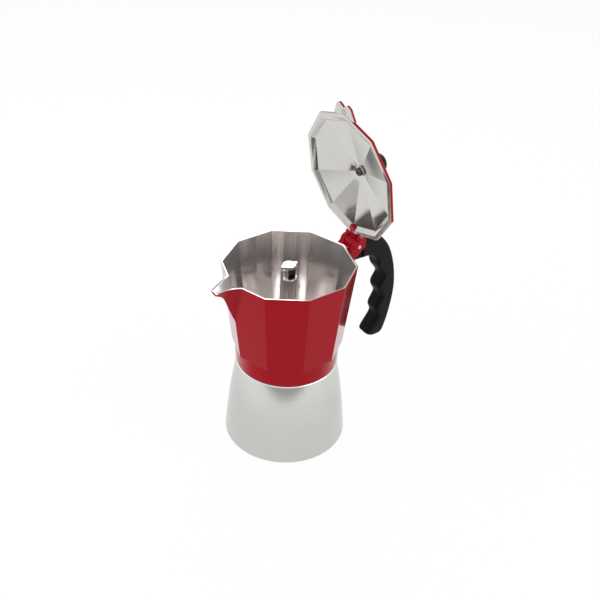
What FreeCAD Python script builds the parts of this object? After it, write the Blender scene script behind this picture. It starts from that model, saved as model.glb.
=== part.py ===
import FreeCAD, Part
import math
import os

# A six-cup moka pot. Sizes are in millimetres. +Z is up, +X points to the handle and -X to the spout.
# The origin is the centre of the boiler's flat base.

# Boiler
boiler_base_radius = 52.6
boiler_shoulder_radius = 42.7
boiler_height = 75.0
boiler_bulge = 1.2
boiler_wall = 2.8
boiler_floor = 4.0
boiler_base_round = 1.6
seam_ring_radius = 43.4
seam_ring_height = 1.4
neck_radius = 38.0
neck_wall = 3.4
neck_height = 11.6
thread_pitch = 3.0
thread_depth = 0.8
thread_turns = 2.5
thread_mouth_share = 0.36
thread_root_share = 0.2

# Safety valve, on the +Y side of the boiler
valve_height = 46.0
valve_boss_radius = 8.5
valve_boss_proud = 0.9
valve_thread_radius = 5.0
valve_washer_radius = 7.6
valve_washer_thickness = 1.0
valve_hex_across = 13.0
valve_hex_length = 6.0
valve_shank_length = 10.5
valve_bore_radius = 3.0
valve_seat_radius = 1.6
valve_seat_thickness = 2.4
valve_cap_thickness = 1.6
valve_cap_step = 0.5
poppet_head_length = 2.0
poppet_stem_radius = 1.1
poppet_stem_proud = 2.2
spring_wire_radius = 0.3
spring_turns = 6.0

# Funnel and the perforated discs
funnel_wall = 1.0
funnel_flange_width = 2.6
basket_depth = 27.0
basket_cone_height = 13.0
basket_ledge = 2.0
stem_radius = 6.0
stem_floor_gap = 5.0
disc_thickness = 0.8
disc_hole_radius = 0.9
disc_ring_pitch = 5.6
disc_edge_margin = 3.0

# Gasket and filter plate
gasket_thickness = 4.0
gasket_bore_radius = 30.5
filter_radius = 33.0
filter_chamber_depth = 2.2
filter_chamber_edge = 3.0

# Collector, the ten-sided jug
side_count = 10
band_height = 16.0
band_foot_radius = 43.4
band_top_radius = 44.3
facet_height = 75.3
facet_foot_corner = 46.3
rim_overhang = 2.4
jug_wall = 2.0
jug_floor = 3.5

# Coffee column inside the jug
column_foot_radius = 9.0
column_ledge_radius = 6.6
column_head_radius = 5.4
column_bore_radius = 4.4
column_foot_bore = 5.2
column_top_drop = 0.7
column_ledge_drop = 12.0
column_cap_thickness = 2.7
column_window_width = 7.0
column_web_thickness = 1.4
column_ear_reach = 7.6
column_ear_width = 3.2

# Spout
spout_half_width = 11.5
spout_tip_half_width = 4.4
spout_reach = 14.6
spout_tip_drop = 3.3
spout_tip_thickness = 2.6
spout_knee_half_width = 1.6
spout_knee_reach = 6.8
spout_knee_drop = 11.2
spout_depth = 45.0
spout_wall = 1.6

# Hinge
hinge_reach = 8.2
hinge_pin_radius = 1.6
hinge_pin_proud = 0.4
ear_radius = 5.3
ear_thickness = 5.0
ear_front_reach = 6.5
ear_post_rise = 8.0
ear_gusset_drop = 15.5
ear_gusset_foot = 1.2
knuckle_radius = 5.0
knuckle_width = 9.2

# Lid, drawn shut and then opened
lid_open_angle = 81.0
lid_gap = 0.5
lid_overhang = 0.1
lid_skirt = 2.6
lid_flange = 3.2
lid_recess = 2.4
lid_recess_slope = 3.2
lid_hollow = 12.0
lid_crown = 14.8
lid_pad_radius = 9.5
lid_inner_pad_radius = 5.2
tab_half_width = 13.0
tab_tip_half_width = 8.6
tab_horn_half_width = 5.0
tab_reach = 8.3
tab_horn_rise = 1.8
tab_notch = 3.0
tab_thickness = 2.4
tab_root = 3.0
lid_arm_inset = 5.9
lid_arm_rise = 4.0

# Knob and its screw
knob_radius = 9.3
knob_neck_radius = 7.0
knob_neck_height = 3.5
knob_waist_height = 12.2
knob_height = 21.5
knob_flare_bulge = 0.6
insert_radius = 3.4
insert_length = 11.0
knob_screw_radius = 1.9
knob_screw_length = 9.0
knob_screw_head_radius = 3.4
knob_screw_head_height = 2.0
knob_washer_radius = 4.3
knob_washer_thickness = 0.7

# Handle: the inner and outer point of each section, from the ears' outer face and from the rim's level.
# The neck comes first, then crests and grooves for the fingers by turns, then the tail.
handle_sections = [
    ((0.0, -14.8), (0.0, 1.5)),
    ((7.0, -14.9), (6.0, 4.3)),
    ((13.6, -17.6), (15.6, 3.6)),
    ((17.6, -23.2), (24.8, -4.6)),
    ((19.2, -30.0), (31.6, -15.4)),
    ((26.4, -41.8), (36.6, -30.5)),
    ((21.5, -51.5), (39.3, -45.0)),
    ((25.8, -62.4), (39.8, -58.0)),
    ((20.8, -73.4), (38.2, -72.5)),
    ((23.0, -83.0), (35.8, -84.4)),
    ((13.4, -96.8), (32.3, -97.2)),
    ((15.6, -102.2), (29.4, -102.6)),
]
handle_half_width = 8.0
handle_edge_round = 4.0
handle_nose_reach = 10.0
handle_nose_foot = 14.4
tang_half_width = 4.0
tang_thickness = 4.3
tang_length = 15.0
tang_gap = 0.4
handle_screw_setback = 8.5
handle_screw_radius = 2.0
handle_screw_head_radius = 3.4
handle_screw_head_height = 1.6
handle_washer_radius = 4.0
handle_washer_thickness = 0.6

# Cross slots in the screw heads, as shares of the screw radius and of the head radius
screw_slot_width = 0.4
screw_slot_reach = 0.7

# Clearances
seam_gap = 0.3
thread_clearance = 0.3
basket_clearance = 0.5
disc_clearance = 0.2
running_clearance = 0.05
fixed_clearance = 0.03
poppet_clearance = 0.3
slot_clearance = 0.35
tang_clearance = 0.15
spring_clearance = 0.05
pocket_clearance = 0.3

# Places that follow from the sizes
seam_top = boiler_height + seam_ring_height
neck_top = seam_top + neck_height
neck_bore = neck_radius - neck_wall
thread_bore = neck_radius + thread_clearance
basket_radius = neck_bore - basket_clearance
basket_floor = neck_top - basket_depth
flange_top = neck_top + funnel_wall
ceiling = flange_top + gasket_thickness
plate_top = ceiling + disc_thickness
band_foot = seam_top + seam_gap
facet_foot = band_foot + band_height
rim = facet_foot + facet_height
chamber_top = plate_top + filter_chamber_depth
floor_top = chamber_top + jug_floor
rim_corner = boiler_base_radius + rim_overhang
lid_corner = rim_corner + lid_overhang
side_angle = 2.0 * math.pi / side_count
half_side = side_angle / 2.0
corner_slope = (rim_corner - facet_foot_corner) / facet_height
hinge_x = rim_corner + hinge_reach
hinge_z = rim
ear_inner = knuckle_width / 2.0 + slot_clearance
ear_outer = ear_inner + ear_thickness
ear_face = hinge_x + ear_front_reach
slot_floor = hinge_z - knuckle_radius - slot_clearance
tang_top = slot_floor - tang_gap
tang_foot = tang_top - tang_thickness
handle_seat = tang_foot - handle_washer_thickness - handle_screw_head_height
lid_foot = rim + lid_gap
pad_height = lid_foot + lid_crown
hollow_top = lid_foot + lid_hollow

UP = FreeCAD.Vector(0, 0, 1)
ALONG_Y = FreeCAD.Vector(0, 1, 0)
HINGE_POINT = FreeCAD.Vector(hinge_x, 0, hinge_z)


def spot(x, y, z):
    return FreeCAD.Vector(x, y, z)


def in_section(pair):
    """A point (radius, height) on the half-plane y = 0."""
    return FreeCAD.Vector(pair[0], 0, pair[1])


def line(first, second):
    return Part.LineSegment(first, second).toShape()


def lines(points):
    return [line(first, second) for first, second in zip(points, points[1:])]


def bowed(first, second, bulge):
    """An arc in the plane y = 0 that stands bulge away from its chord, to the right of its direction."""
    along = second - first
    side = spot(along.z, 0, -along.x).normalize()
    middle = (first + second) * 0.5 + side * bulge
    return Part.Arc(first, middle, second).toShape()


def smooth(points):
    curve = Part.BSplineCurve()
    curve.interpolate(points)
    return curve.toShape()


def turned(edges):
    """A solid of revolution about Z from the edges of its half section."""
    face = Part.Face(Part.Wire(Part.__sortEdges__(edges)))
    return face.revolve(spot(0, 0, 0), UP, 360)


def turned_outline(pairs):
    points = [in_section(pair) for pair in pairs]
    return turned(lines(points + points[:1]))


def plate_xz(edges, low_y, high_y):
    """A plate whose outline lies in the plane y = 0, from low_y to high_y."""
    face = Part.Face(Part.Wire(Part.__sortEdges__(edges)))
    face.translate(spot(0, low_y, 0))
    return face.extrude(spot(0, high_y - low_y, 0))


def tube(outer, inner, foot, height):
    outside = Part.makeCylinder(outer, height, spot(0, 0, foot))
    inside = Part.makeCylinder(inner, height, spot(0, 0, foot))
    return outside.cut(inside)


def decagon(corner, height):
    points = []
    for number in range(side_count):
        angle = number * side_angle
        points.append(spot(corner * math.cos(angle), corner * math.sin(angle), height))
    return Part.makePolygon(points + points[:1])


def decagon_block(low_corner, low, high_corner, high):
    return Part.makeLoft([decagon(low_corner, low), decagon(high_corner, high)], True, True)


def faceted(corners, faces):
    """A closed solid from named corners and the lists of corner names round each face."""
    skins = []
    for names in faces:
        loop = [corners[name] for name in names]
        skins.append(Part.Face(Part.makePolygon(loop + loop[:1])))
    return Part.makeSolid(Part.makeShell(skins))


def helical_groove(radius, foot, depth, turns):
    """A trapezoid swept along a helix, to be cut for a thread. It reaches depth past the radius."""
    path = Part.makeHelix(thread_pitch, thread_pitch * turns, radius)
    path.translate(spot(0, 0, foot))
    wide = thread_mouth_share * thread_pitch
    narrow = thread_root_share * thread_pitch
    front = radius + math.copysign(thread_clearance, depth)
    back = radius - depth
    corners = [(front, -wide), (front, wide), (back, narrow), (back, -narrow)]
    points = [spot(across, 0, foot + rise) for across, rise in corners]
    section = Part.makePolygon(points + points[:1])
    return Part.Wire(path).makePipeShell([section], True, True)


def along_y(shape, offset, height):
    """Turns a shape that was made along Z so that it points along +Y, at the valve's place."""
    placed = shape.copy()
    placed.rotate(spot(0, 0, 0), spot(1, 0, 0), -90)
    placed.translate(spot(0, offset, height))
    return placed


def opened(shape):
    """Turns a piece of the lid from shut to the open pose."""
    placed = shape.copy()
    placed.rotate(HINGE_POINT, ALONG_Y, lid_open_angle)
    return placed


def save(shape, node):
    shape.exportStep("parts/" + node + ".step")


def bell_radius(height):
    """The boiler's outer radius at a height, from the chord of its side and its bulge."""
    share = height / boiler_height
    chord = boiler_base_radius + (boiler_shoulder_radius - boiler_base_radius) * share
    return chord + 4.0 * boiler_bulge * share * (1.0 - share)


valve_face = bell_radius(valve_height - valve_boss_radius) + valve_boss_proud
hex_foot = valve_face + valve_washer_thickness
hex_top = hex_foot + valve_hex_length
shank_end = hex_foot - valve_shank_length
seat_face = shank_end + valve_seat_thickness
cap_foot = hex_top - valve_cap_thickness
cap_radius = valve_bore_radius + valve_cap_step


def make_boiler():
    inner_base = boiler_base_radius - boiler_wall
    inner_shoulder = boiler_shoulder_radius - boiler_wall
    shoulder_foot = boiler_height - boiler_wall
    slope_foot = shoulder_foot - (inner_shoulder - neck_bore)
    round_centre = boiler_base_radius - boiler_base_round
    round_middle = boiler_base_round * math.sqrt(0.5)
    base_start = in_section((round_centre, 0))
    base_middle = in_section((round_centre + round_middle, boiler_base_round - round_middle))
    base_end = in_section((boiler_base_radius, boiler_base_round))
    shoulder = in_section((boiler_shoulder_radius, boiler_height))
    outside = [
        (boiler_shoulder_radius, boiler_height),
        (seam_ring_radius, boiler_height),
        (seam_ring_radius, seam_top),
        (neck_radius, seam_top),
        (neck_radius, neck_top),
        (neck_bore, neck_top),
        (neck_bore, shoulder_foot),
        (inner_shoulder, slope_foot),
    ]
    inner_top = in_section(outside[-1])
    inner_foot = in_section((inner_base, boiler_floor + boiler_base_round))
    floor_edge = in_section((inner_base - boiler_base_round, boiler_floor))
    edges = [line(in_section((0, 0)), base_start)]
    edges.append(Part.Arc(base_start, base_middle, base_end).toShape())
    edges.append(bowed(base_end, shoulder, boiler_bulge))
    edges.extend(lines([in_section(pair) for pair in outside]))
    edges.append(bowed(inner_top, inner_foot, -boiler_bulge))
    edges.extend(lines([inner_foot, floor_edge, in_section((0, boiler_floor)), in_section((0, 0))]))
    body = turned(edges)
    boss_root = bell_radius(valve_height + valve_boss_radius) - boiler_wall / 2.0
    boss = Part.makeCylinder(valve_boss_radius, valve_face - boss_root)
    hole = Part.makeCylinder(valve_thread_radius, valve_face)
    body = body.fuse(along_y(boss, boss_root, valve_height)).cut(along_y(hole, 0, valve_height))
    groove = helical_groove(neck_radius, seam_top + thread_pitch, thread_depth, thread_turns)
    return body.cut(groove)


def make_valve_body():
    corner = valve_hex_across / math.sqrt(3.0)
    points = []
    for number in range(6):
        angle = number * math.pi / 3.0
        points.append(spot(corner * math.cos(angle), corner * math.sin(angle), 0))
    prism = Part.Face(Part.makePolygon(points + points[:1])).extrude(spot(0, 0, valve_hex_length))
    half_across = valve_hex_across / 2.0
    dome = Part.makeCone(half_across + valve_hex_length, half_across, valve_hex_length)
    body = along_y(prism.common(dome), hex_foot, valve_height)
    shank = Part.makeCylinder(valve_thread_radius - fixed_clearance, valve_shank_length)
    bore = Part.makeCylinder(valve_bore_radius, hex_top - seat_face)
    seat = Part.makeCylinder(valve_seat_radius, valve_seat_thickness)
    pocket = Part.makeCylinder(cap_radius, valve_cap_thickness)
    body = body.fuse(along_y(shank, shank_end, valve_height))
    body = body.cut(along_y(bore, seat_face, valve_height))
    body = body.cut(along_y(seat, shank_end, valve_height))
    return body.cut(along_y(pocket, cap_foot, valve_height))


def make_valve_washer():
    ring = tube(valve_washer_radius, valve_thread_radius, 0, valve_washer_thickness)
    return along_y(ring, valve_face, valve_height)


def make_valve_poppet():
    head = Part.makeCylinder(valve_bore_radius - poppet_clearance, poppet_head_length)
    stem = Part.makeCylinder(poppet_stem_radius, hex_top + poppet_stem_proud - seat_face)
    return along_y(head.fuse(stem), seat_face, valve_height)


def make_valve_spring():
    space = cap_foot - seat_face - poppet_head_length
    margin = spring_wire_radius + spring_clearance
    rise = space - 2.0 * margin
    inside = poppet_stem_radius + poppet_clearance
    outside = valve_bore_radius - poppet_clearance
    coil_radius = (inside + outside) / 2.0
    path = Part.makeHelix(rise / spring_turns, rise, coil_radius)
    circle = Part.makeCircle(spring_wire_radius, spot(coil_radius, 0, 0), ALONG_Y)
    coil = Part.Wire(path).makePipeShell([Part.Wire(circle)], True, True)
    return along_y(coil, seat_face + poppet_head_length + margin, valve_height)


def make_valve_cap():
    ring = tube(cap_radius - fixed_clearance, poppet_stem_radius + running_clearance, 0, valve_cap_thickness)
    return along_y(ring, cap_foot, valve_height)


def make_funnel():
    inner = basket_radius - funnel_wall
    flange = basket_radius + basket_clearance + funnel_flange_width
    cone_foot = basket_floor - basket_cone_height
    stem_foot = boiler_floor + stem_floor_gap
    return turned_outline([
        (flange, neck_top),
        (basket_radius, neck_top),
        (basket_radius, basket_floor - funnel_wall),
        (stem_radius, cone_foot - funnel_wall),
        (stem_radius, stem_foot),
        (stem_radius - funnel_wall, stem_foot),
        (stem_radius - funnel_wall, cone_foot),
        (inner - basket_ledge, basket_floor),
        (inner, basket_floor),
        (inner, flange_top),
        (flange, flange_top),
    ])


def perforated(radius, foot):
    """A thin disc with rings of round holes."""
    disc = Part.makeCylinder(radius, disc_thickness, spot(0, 0, foot))
    places = [spot(0, 0, foot)]
    ring_count = int((radius - disc_edge_margin) / disc_ring_pitch)
    for ring in range(1, ring_count + 1):
        for number in range(6 * ring):
            angle = number * math.pi / (3.0 * ring)
            reach = ring * disc_ring_pitch
            places.append(spot(reach * math.cos(angle), reach * math.sin(angle), foot))
    holes = [Part.makeCylinder(disc_hole_radius, disc_thickness, place) for place in places]
    return disc.cut(Part.makeCompound(holes))


def make_funnel_screen():
    return perforated(basket_radius - funnel_wall - disc_clearance, basket_floor)


def make_gasket():
    return tube(thread_bore - thread_clearance, gasket_bore_radius, flange_top, gasket_thickness)


def make_filter_plate():
    return perforated(filter_radius, ceiling)


def corner_at(height):
    """The jug's outer corner radius at a height."""
    return facet_foot_corner + corner_slope * (height - facet_foot)


def make_jug_shell():
    outside = decagon_block(facet_foot_corner, facet_foot, rim_corner, rim)
    band = Part.makeCone(band_foot_radius, band_top_radius, band_height, spot(0, 0, band_foot))
    wall_at_corner = jug_wall / math.cos(half_side)
    above = rim + jug_wall
    low_corner = corner_at(floor_top) - wall_at_corner
    high_corner = corner_at(above) - wall_at_corner
    hollow = decagon_block(low_corner, floor_top, high_corner, above)
    return outside.fuse(band), hollow


def spout_solid(half, tip_half, tip_x, tip_low, knee_half, knee_x, knee_z, root, top_margin):
    """A beak with a flat top that falls to its tip, and a keel that bends at a knee above its root."""
    lip_x = jug_wall - corner_at(rim) * math.cos(half_side)
    fall = spout_tip_drop / (rim_corner + spout_reach + lip_x)
    lip_z = rim + top_margin
    tip_z = lip_z - fall * (lip_x - tip_x)
    corners = {
        "lip left": spot(lip_x, half, lip_z),
        "lip right": spot(lip_x, -half, lip_z),
        "tip left": spot(tip_x, tip_half, tip_z),
        "tip right": spot(tip_x, -tip_half, tip_z),
        "keel left": spot(tip_x, tip_half / 2.0, tip_low),
        "keel right": spot(tip_x, -tip_half / 2.0, tip_low),
        "knee left": spot(knee_x, knee_half, knee_z),
        "knee right": spot(knee_x, -knee_half, knee_z),
        "root": root,
    }
    faces = [
        ("lip left", "tip left", "tip right", "lip right"),
        ("tip left", "keel left", "keel right", "tip right"),
        ("keel left", "knee left", "knee right", "keel right"),
        ("knee left", "root", "knee right"),
        ("tip left", "lip left", "keel left"),
        ("lip left", "knee left", "keel left"),
        ("lip left", "root", "knee left"),
        ("tip right", "keel right", "lip right"),
        ("lip right", "keel right", "knee right"),
        ("lip right", "knee right", "root"),
        ("lip left", "lip right", "root"),
    ]
    return faceted(corners, faces)


def make_spout():
    """The beak and the trough inside it."""
    tip_x = -rim_corner - spout_reach
    tip_low = rim - spout_tip_drop - spout_tip_thickness
    root_z = rim - spout_depth
    root = spot(jug_wall - corner_at(root_z), 0, root_z)
    knee_half = spout_knee_half_width
    knee_x = -rim_corner - spout_knee_reach
    knee_z = rim - spout_knee_drop
    half = spout_half_width
    tip_half = spout_tip_half_width
    beak = spout_solid(half, tip_half, tip_x, tip_low, knee_half, knee_x, knee_z, root, 0.0)
    inner_root_z = root_z + 2.0 * spout_wall
    inner_root = spot(jug_wall + spout_wall - corner_at(inner_root_z), 0, inner_root_z)
    half -= spout_wall
    tip_half -= spout_wall
    tip_x += spout_wall
    tip_low += spout_wall
    knee_half /= 2.0
    knee_x += spout_wall
    knee_z += spout_wall
    trough = spout_solid(half, tip_half, tip_x, tip_low, knee_half, knee_x, knee_z, inner_root, spout_wall)
    return beak, trough


def make_column():
    """The cast coffee column: a tapered tube with a capped head, its bore and the web between its windows."""
    ledge = rim - column_ledge_drop
    top = rim - column_top_drop
    cap_foot_z = top - column_cap_thickness
    start = spot(0, 0, chamber_top)
    foot = Part.makeCone(column_foot_radius, column_ledge_radius, ledge - chamber_top, start)
    head = Part.makeCylinder(column_head_radius, top - ledge, spot(0, 0, ledge))
    ears = Part.makeBox(2.0 * column_ear_reach, column_ear_width, top - ledge,
                        spot(-column_ear_reach, -column_ear_width / 2.0, ledge))
    window = Part.makeBox(column_window_width, 4.0 * column_head_radius, cap_foot_z - ledge,
                          spot(-column_window_width / 2.0, -2.0 * column_head_radius, ledge))
    bore = Part.makeCone(column_foot_bore, column_bore_radius, cap_foot_z - chamber_top, start)
    web = Part.makeBox(column_window_width, column_web_thickness, cap_foot_z - ledge,
                       spot(-column_window_width / 2.0, -column_web_thickness / 2.0, ledge))
    return foot.fuse(head).fuse(ears).cut(window), bore, web


def make_hinge_block():
    """Two ears, each with a post in front and a gusset under it, and the tang that carries the handle."""
    wall_x = corner_at(rim) * math.cos(half_side) - jug_wall
    ring = Part.makeCylinder(ear_radius, 2.0 * ear_outer, spot(hinge_x, -ear_outer, hinge_z), ALONG_Y)
    foot_trim = Part.makeBox(2.0 * ear_radius, 2.0 * ear_outer, ear_radius,
                             spot(hinge_x - ear_radius, -ear_outer, hinge_z - ear_radius))
    post = Part.makeBox(ear_front_reach, 2.0 * ear_outer, ear_post_rise, spot(hinge_x, -ear_outer, hinge_z))
    ears = ring.cut(foot_trim).fuse(post)
    gusset = [
        (wall_x, rim),
        (ear_face, rim),
        (ear_face, hinge_z - ear_gusset_foot),
        (corner_at(rim) - jug_wall, hinge_z - ear_gusset_drop),
        (wall_x, hinge_z - ear_gusset_drop),
    ]
    points = [in_section(pair) for pair in gusset]
    block = ears.fuse(plate_xz(lines(points + points[:1]), -ear_outer, ear_outer))
    slot_back = hinge_x - knuckle_radius - slot_clearance
    slot = Part.makeBox(ear_face - slot_back, 2.0 * ear_inner, hinge_z + ear_post_rise - slot_floor,
                        spot(slot_back, -ear_inner, slot_floor))
    tang = Part.makeBox(ear_face + tang_length - wall_x, 2.0 * tang_half_width, tang_thickness,
                        spot(wall_x, -tang_half_width, tang_foot))
    pin_hole = Part.makeCylinder(hinge_pin_radius + fixed_clearance, 2.0 * ear_outer,
                                 spot(hinge_x, -ear_outer, hinge_z), ALONG_Y)
    screw_hole = Part.makeCylinder(handle_screw_radius + fixed_clearance, tang_thickness,
                                   spot(ear_face + handle_screw_setback, 0, tang_foot))
    return block.cut(slot).fuse(tang).cut(pin_hole).cut(screw_hole)


def make_collector():
    outside, hollow = make_jug_shell()
    column, bore, column_web = make_column()
    thread_hole = Part.makeCylinder(thread_bore, ceiling - band_foot, spot(0, 0, band_foot))
    seat = Part.makeCylinder(filter_radius + disc_clearance, disc_thickness, spot(0, 0, ceiling))
    chamber_radius = filter_radius - filter_chamber_edge
    chamber = Part.makeCone(chamber_radius, column_foot_bore, filter_chamber_depth, spot(0, 0, plate_top))
    groove = helical_groove(thread_bore, band_foot + thread_pitch, -thread_depth, thread_turns)
    beak, trough = make_spout()
    body = outside.fuse(beak).fuse(make_hinge_block())
    body = body.cut(hollow).cut(trough).fuse(column)
    for hole in (thread_hole, seat, chamber, bore, groove):
        body = body.cut(hole)
    return body.fuse(column_web)


def make_hinge_pin():
    length = 2.0 * (ear_outer + hinge_pin_proud)
    pin = Part.makeCylinder(hinge_pin_radius, length, spot(hinge_x, -length / 2.0, hinge_z), ALONG_Y)
    rounds = [edge for edge in pin.Edges if edge.Curve.TypeId == "Part::GeomCircle"]
    return pin.makeChamfer(hinge_pin_proud, rounds)


def make_lid():
    skirt_top = lid_foot + lid_skirt
    skirt = decagon_block(lid_corner, lid_foot, lid_corner, skirt_top)
    crown = decagon_block(lid_corner, skirt_top, lid_pad_radius, pad_height)
    inner_corner = lid_corner - lid_flange
    recess_top = lid_foot + lid_recess
    dish_corner = inner_corner - lid_recess_slope
    recess = decagon_block(inner_corner, lid_foot, dish_corner, recess_top)
    hollow = decagon_block(dish_corner, recess_top, lid_inner_pad_radius, hollow_top)
    tip_x = lid_corner + tab_reach
    root_x = lid_corner - tab_root
    tab_outline = [
        (root_x, tab_half_width),
        (tip_x - tab_horn_rise, tab_tip_half_width),
        (tip_x, tab_horn_half_width),
        (tip_x - tab_notch, 0.0),
        (tip_x, -tab_horn_half_width),
        (tip_x - tab_horn_rise, -tab_tip_half_width),
        (root_x, -tab_half_width),
    ]
    points = [spot(-across, along, lid_foot) for across, along in tab_outline]
    tab = Part.Face(Part.makePolygon(points + points[:1])).extrude(spot(0, 0, tab_thickness))
    half_knuckle = knuckle_width / 2.0
    barrel = Part.makeCylinder(knuckle_radius, knuckle_width, spot(hinge_x, -half_knuckle, hinge_z), ALONG_Y)
    arm_root = inner_corner - lid_arm_inset
    arm_top = hinge_z + knuckle_radius
    arm = [(arm_root, lid_foot), (hinge_x, lid_foot), (hinge_x, arm_top), (arm_root, lid_foot + lid_arm_rise)]
    arm_points = [in_section(pair) for pair in arm]
    web = plate_xz(lines(arm_points + arm_points[:1]), -half_knuckle, half_knuckle)
    pin_hole = Part.makeCylinder(hinge_pin_radius + running_clearance, knuckle_width,
                                 spot(hinge_x, -half_knuckle, hinge_z), ALONG_Y)
    screw_hole = Part.makeCylinder(knob_screw_radius + pocket_clearance, lid_crown, spot(0, 0, lid_foot))
    shell = skirt.fuse(crown).cut(recess).cut(hollow)
    return opened(shell.fuse(tab).fuse(web).fuse(barrel).cut(pin_hole).cut(screw_hole))


def make_knob():
    waist = pad_height + knob_waist_height
    top = pad_height + knob_height
    neck_end = in_section((knob_neck_radius, pad_height + knob_neck_height))
    widest = in_section((knob_radius, waist))
    flare = bowed(neck_end, widest, knob_flare_bulge)
    dome_share = math.sqrt(0.5)
    dome_middle = in_section((knob_radius * dome_share, waist + (top - waist) * dome_share))
    dome = Part.Arc(widest, dome_middle, in_section((0, top))).toShape()
    core = [in_section(pair) for pair in ((0, top), (0, pad_height), (knob_neck_radius, pad_height))]
    body = turned(lines(core + [neck_end]) + [flare, dome])
    pocket = Part.makeCylinder(insert_radius + fixed_clearance, insert_length, spot(0, 0, pad_height))
    return opened(body.cut(pocket))


def make_knob_insert():
    return opened(tube(insert_radius, knob_screw_radius + fixed_clearance, pad_height, insert_length))


def make_knob_washer():
    foot = hollow_top - knob_washer_thickness
    return opened(tube(knob_washer_radius, knob_screw_radius + fixed_clearance, foot, knob_washer_thickness))


def screw(radius, length, head_radius, head_height):
    """A pan-head screw that points up, with its head's upper face at height 0."""
    head = Part.makeCylinder(head_radius, head_height, spot(0, 0, -head_height))
    round_edges = [edge for edge in head.Edges if abs(edge.CenterOfMass.z + head_height) < 1e-6]
    head = head.makeFillet(head_height / 2.0, round_edges)
    slot_width = screw_slot_width * radius
    slot_half = screw_slot_reach * head_radius
    slot_place = spot(-slot_half, -slot_width / 2.0, -head_height)
    slot = Part.makeBox(2.0 * slot_half, slot_width, head_height / 2.0, slot_place)
    cross = slot.copy()
    cross.rotate(spot(0, 0, 0), UP, 90)
    return head.fuse(Part.makeCylinder(radius, length)).cut(slot).cut(cross)


def make_knob_screw():
    length = knob_washer_thickness + pad_height - hollow_top + knob_screw_length
    piece = screw(knob_screw_radius, length, knob_screw_head_radius, knob_screw_head_height)
    piece.translate(spot(0, 0, hollow_top - knob_washer_thickness))
    return opened(piece)


def handle_spot(pair):
    return spot(ear_face + pair[0], 0, rim + pair[1])


def rounded_section(inner, outer):
    """A rectangle with rounded corners, from the handle's inner point to its outer point."""
    across = (outer - inner).normalize()
    length = (outer - inner).Length
    reach = handle_half_width
    bend = handle_edge_round
    slack = bend * (1.0 - math.sqrt(0.5))

    def place(along, side):
        return inner + across * along + ALONG_Y * side

    def corner(start, middle, end):
        return Part.Arc(place(*start), place(*middle), place(*end)).toShape()

    far = length - bend
    deep = length - slack
    return Part.Wire([
        line(place(bend, -reach), place(far, -reach)),
        corner((far, -reach), (deep, slack - reach), (length, bend - reach)),
        line(place(length, bend - reach), place(length, reach - bend)),
        corner((length, reach - bend), (deep, reach - slack), (far, reach)),
        line(place(far, reach), place(bend, reach)),
        corner((bend, reach), (slack, reach - slack), (0, reach - bend)),
        line(place(0, reach - bend), place(0, bend - reach)),
        corner((0, bend - reach), (slack, slack - reach), (bend, -reach)),
    ])


def make_handle():
    sections = [rounded_section(handle_spot(inner), handle_spot(outer)) for inner, outer in handle_sections]
    grip = Part.makeLoft(sections, True, False)
    slope_high = hinge_z - ear_gusset_foot
    slope_low = hinge_z - ear_gusset_drop
    slope = (slope_high - slope_low) / (ear_face - corner_at(rim) + jug_wall)
    nose_x = ear_face - handle_nose_reach
    nose_outline = [
        (ear_face, slope_high),
        (nose_x, slope_high - slope * handle_nose_reach),
        (nose_x, rim - handle_nose_foot),
        (ear_face, rim - handle_nose_foot),
    ]
    points = [in_section(pair) for pair in nose_outline]
    half_nose = handle_half_width - handle_edge_round / 2.0
    nose = plate_xz(lines(points + points[:1]), -half_nose, half_nose)
    knuckle_room = Part.makeCylinder(knuckle_radius + slot_clearance, 2.0 * ear_inner,
                                     spot(hinge_x, -ear_inner, hinge_z), ALONG_Y)
    body = grip.fuse(nose.cut(knuckle_room))
    socket = Part.makeBox(
        handle_nose_reach + tang_length + tang_clearance,
        2.0 * (tang_half_width + tang_clearance),
        tang_thickness + 2.0 * tang_clearance,
        spot(nose_x, -tang_half_width - tang_clearance, tang_foot - tang_clearance),
    )
    screw_x = ear_face + handle_screw_setback
    room = rim - tang_foot
    shank_place = spot(screw_x, 0, tang_foot - room)
    shank = Part.makeCylinder(handle_screw_radius + pocket_clearance, room, shank_place)
    head_place = spot(screw_x, 0, handle_seat - room)
    head_room = Part.makeCylinder(handle_washer_radius + pocket_clearance, room, head_place)
    return body.cut(socket).cut(shank).cut(head_room)


def make_handle_washer():
    foot = handle_seat - handle_washer_thickness
    ring = tube(handle_washer_radius, handle_screw_radius + fixed_clearance, foot, handle_washer_thickness)
    ring.translate(spot(ear_face + handle_screw_setback, 0, 0))
    return ring


def make_handle_screw():
    foot = handle_seat - handle_washer_thickness
    piece = screw(handle_screw_radius, tang_top - foot, handle_screw_head_radius, handle_screw_head_height)
    piece.translate(spot(ear_face + handle_screw_setback, 0, foot))
    return piece


makers = {
    "boiler": make_boiler,
    "valve_body": make_valve_body,
    "valve_washer": make_valve_washer,
    "valve_poppet": make_valve_poppet,
    "valve_spring": make_valve_spring,
    "valve_cap": make_valve_cap,
    "funnel": make_funnel,
    "funnel_screen": make_funnel_screen,
    "gasket": make_gasket,
    "filter_plate": make_filter_plate,
    "collector": make_collector,
    "hinge_pin": make_hinge_pin,
    "lid": make_lid,
    "knob": make_knob,
    "knob_insert": make_knob_insert,
    "knob_washer": make_knob_washer,
    "knob_screw": make_knob_screw,
    "handle": make_handle,
    "handle_washer": make_handle_washer,
    "handle_screw": make_handle_screw,
}

os.makedirs("parts", exist_ok=True)
for node, make in makers.items():
    piece = make()
    print(node, "solids", len(piece.Solids), "valid", piece.isValid(), "volume", round(piece.Volume, 1))
    save(piece, node)
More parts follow.
